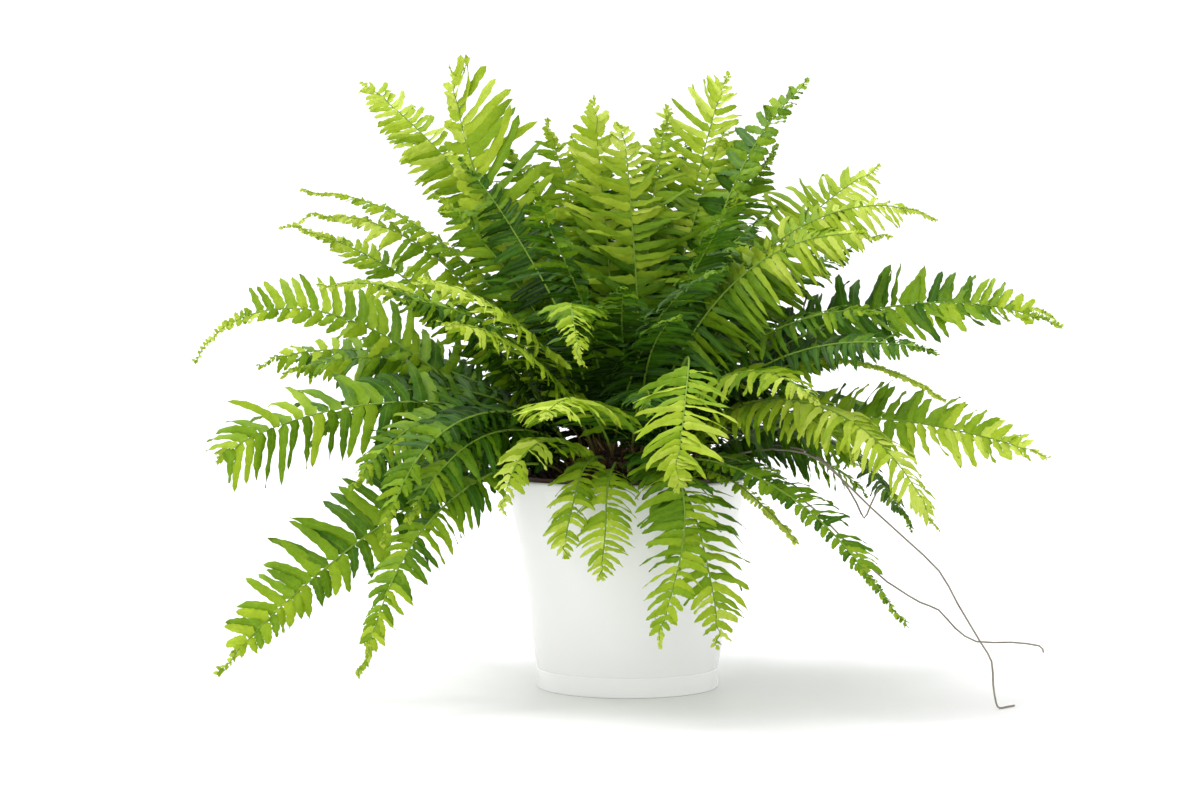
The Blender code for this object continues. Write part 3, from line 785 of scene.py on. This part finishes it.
def chunk(build, rng, spot, size, tint):
    """A small angular lump: a squashed, tilted box with jittered corners."""
    corners = np.array([(x, y, z) for x in (-1, 1) for y in (-1, 1) for z in (-1, 1)], float)
    corners *= np.array([rng.uniform(0.5, 1.0) for _ in range(3)]) * size
    corners += np.array([[rng.uniform(-0.22, 0.22) * size for _ in range(3)] for _ in range(8)])
    a, b = rng.uniform(0, 6.28), rng.uniform(-0.6, 0.6)
    spin = np.array(((math.cos(a), -math.sin(a), 0), (math.sin(a), math.cos(a), 0), (0, 0, 1)))
    tilt = np.array(((1, 0, 0), (0, math.cos(b), -math.sin(b)), (0, math.sin(b), math.cos(b))))
    points = corners @ tilt.T @ spin.T + spot
    faces = np.array(((0, 1, 3, 2), (4, 6, 7, 5), (0, 4, 5, 1), (2, 3, 7, 6), (0, 2, 6, 4),
                      (1, 5, 7, 3)))
    marks = np.tile((0.5, 0.5, tint, 1.0), (8, 1))
    build.add(points, faces, np.ones(8, dtype=bool), marks)


def litter_material():
    """Earth, bark and dry stems: the tint mark runs from black-brown to straw."""
    n = Nodes("litter")
    mark = n.add("ShaderNodeAttribute", attribute_name="leaf")
    parts = n.add("ShaderNodeSeparateColor")
    n.put(parts.inputs[0], mark.outputs["Color"])
    grain = n.noise(500.0, 4.0, 0.65)
    value = n.math("ADD", parts.outputs[2], n.math("MULTIPLY", n.math("SUBTRACT", grain, 0.5), 0.4))
    colour = n.ramp(value, (0.0, (0.012, 0.007, 0.005)), (0.35, (0.045, 0.022, 0.012)),
                    (0.65, (0.16, 0.085, 0.038)), (1.0, (0.38, 0.26, 0.13)))
    rough = n.math("ADD", 0.70, n.math("MULTIPLY", grain, 0.3), clamp=True)
    return n.finish(n.principled(colour, rough, n.bump(grain, 0.8, 0.0006)))


def link_build(build, name, material, slot, *nodes):
    """The finished mesh as a piece, which stands for the given nodes."""
    obj = bpy.data.objects.new(name, build.mesh(name))
    bpy.context.scene.collection.objects.link(obj)
    obj.data.materials.append(material)
    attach(obj, "root")
    if nodes:
        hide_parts(*nodes)
    return obj


def bed_sink(share):
    """How far the bed lies below its middle, at a share of its radius."""
    return BED_SINK * max(0.0, share - BED_LEVEL) / (1 - BED_LEVEL)


def tone(obj, tint):
    """Marks a turned solid like the litter on it, with one tint all over."""
    marks = obj.data.attributes.new("leaf", "FLOAT_COLOR", "POINT")
    marks.data.foreach_set("color", [0.5, 0.5, tint, 1.0] * len(obj.data.vertices))


def make_soil(material):
    """The bed of potting mix, and the crumbs, bark and chaff that lie on it."""
    low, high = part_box("soil")
    edge, top = high.x, high.z
    rings = 26
    bed = [(edge * k / rings, top - bed_sink(k / rings)) for k in range(rings + 1)]
    profile = bed + [(SOIL_BASE_RADIUS, low.z), (0.0, low.z)]
    soil = turned("soil_piece", profile, INNER_STEPS, material)
    tone(soil, 0.16)
    rough_top(soil, top - 0.0055, 0.0016, 160.0, 4.0)
    adopt(soil, "soil")
    rng = random.Random(41)
    build = Build()
    for _ in range(CRUMBS):
        radius = edge * math.sqrt(rng.uniform(0.25, 0.96))
        turn = rng.uniform(0, 2 * math.pi)
        size = rng.uniform(0.0007, 0.0024)
        z = top + 0.0004 - bed_sink(radius / edge)
        spot = np.array((radius * math.cos(turn), radius * math.sin(turn), z))
        chunk(build, rng, spot, size, rng.choice((0.1, 0.2, 0.3, 0.5, 0.7)) * rng.uniform(0.7, 1.2))
    link_build(build, "soil_crumbs", material, "potting_mix")


def make_crown(material):
    """The mound of rhizome, the scales and lumps on it, and the stubs and dry stems out of it."""
    low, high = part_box("crown")
    radius, height, base = high.x, high.z - low.z, low.z
    rng = random.Random(77)
    rings = 22
    steps = [math.radians(90 - 88 * k / rings) for k in range(rings + 1)]
    dome = [(radius * math.cos(t) if k else 0.0, base + height * math.sin(t))
            for k, t in enumerate(steps)]
    profile = dome + [(radius, base), (0.0, base)]
    crown = turned("crown_mound", profile, INNER_STEPS, material)
    tone(crown, 0.28)
    rough_top(crown, base + 0.001, 0.0030, 110.0, 9.0)
    adopt(crown, "crown")

    build = Build()
    for _ in range(SCALES):
        turn, reach = rng.uniform(0, 2 * math.pi), math.sqrt(rng.uniform(0.02, 1))
        x, y = radius * reach * math.cos(turn), radius * reach * math.sin(turn)
        z = base + height * math.sqrt(max(0.0, 1 - reach**2))
        size = rng.uniform(0.0008, 0.0030)
        chunk(build, rng, np.array((x, y, z)), size, rng.uniform(0.12, 0.62))
    for k in range(STUBS):
        turn, reach = rng.uniform(0, 2 * math.pi), rng.uniform(0.25, 1.0)
        long = k % 4 == 0
        x, y = radius * reach * math.cos(turn), radius * reach * math.sin(turn)
        z = base + height * math.sqrt(max(0.0, 1 - reach**2)) - 0.002
        size = rng.uniform(0.045, 0.085) if long else rng.uniform(0.010, 0.026)
        lift = rng.uniform(0.5, 1.3)
        heading = turn + rng.uniform(-0.8, 0.8)
        path, spot = [], np.array((x, y, z))
        for i in range(STUB_STEPS + 1):
            path.append(spot.copy())
            slope = lift - (1.5 if long else 0.3) * (i / STUB_STEPS) ** 1.3
            ahead = np.array((math.cos(slope) * math.cos(heading),
                              math.cos(slope) * math.sin(heading), math.sin(slope)))
            spot = spot + size / STUB_STEPS * ahead
            heading += rng.uniform(-0.15, 0.15)
        thick = rng.uniform(0.0005, 0.0008) if long else rng.uniform(0.0008, 0.0014)
        radii = thick * (1 - 0.6 * np.linspace(0, 1, len(path)))
        add_tube(build, path, radii, np.full(len(path), rng.uniform(0.45, 1.0)))
    link_build(build, "crown_stubs", material, "rhizome")


# The scene

WORLD_STRENGTH = 1.26
SUN_ENERGY = 2.3
SUN_SPREAD = 30  # degrees; wide, for soft shadows
SUN_DIRECTION = (0.45, -0.30, -1.0)
CAMERA_PLACE = (-0.018, -1.88, 0.275)
CAMERA_DOWN = 2.63  # degrees below the horizon
CAMERA_LENS = 86.0
FLOOR_HALF = 14


def colour_runners():
    """The runners keep their CAD meshes and take a stem material."""
    stem = simple_material(
        "runner_stem", ((0.3, (0.15, 0.12, 0.09)), (0.6, (0.26, 0.23, 0.18)),
                        (0.8, (0.22, 0.23, 0.15))), 70.0, 0.55, 1200.0, 0.0001)
    for number in (1, 2, 3):
        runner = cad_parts[f"runner_{number}"]
        runner.data.materials.clear()
        runner.data.materials.append(stem)


def add_floor():
    half = FLOOR_HALF
    mesh = bpy.data.meshes.new("floor")
    mesh.from_pydata([(-half, -half, 0), (half, -half, 0), (half, half, 0), (-half, half, 0)], [],
                     [(0, 1, 2, 3)])
    mesh.materials.append(simple_material(
        "floor_white", ((0.3, (0.80, 0.80, 0.80)), (0.7, (0.81, 0.81, 0.81))),
        4.0, 0.55, 40.0, 0.00002))
    floor = bpy.data.objects.new("floor", mesh)
    bpy.context.scene.collection.objects.link(floor)


def add_light():
    world = bpy.data.worlds.new("studio")
    world.use_nodes = True
    back = world.node_tree.nodes["Background"]
    back.inputs["Color"].default_value = (1.0, 1.0, 1.0, 1.0)
    back.inputs["Strength"].default_value = WORLD_STRENGTH
    bpy.context.scene.world = world

    sun = bpy.data.lights.new("key", "SUN")
    sun.energy = SUN_ENERGY
    sun.angle = math.radians(SUN_SPREAD)
    lamp = bpy.data.objects.new("key", sun)
    lamp.rotation_euler = Vector(SUN_DIRECTION).to_track_quat("-Z", "Y").to_euler()
    bpy.context.scene.collection.objects.link(lamp)


def add_camera():
    lens = bpy.data.cameras.new("camera")
    lens.lens = CAMERA_LENS
    lens.sensor_width = 36.0
    camera = bpy.data.objects.new("camera", lens)
    camera.location = CAMERA_PLACE
    camera.rotation_euler = (math.radians(90 - CAMERA_DOWN), 0.0, 0.0)
    bpy.context.scene.collection.objects.link(camera)
    bpy.context.scene.camera = camera
    bpy.context.scene.view_settings.view_transform = "Standard"


make_fronds(leaf_material())
make_planter()
make_nursery_pot()
litter = litter_material()
make_soil(litter)
make_crown(litter)
colour_runners()
add_floor()
add_light()
add_camera()
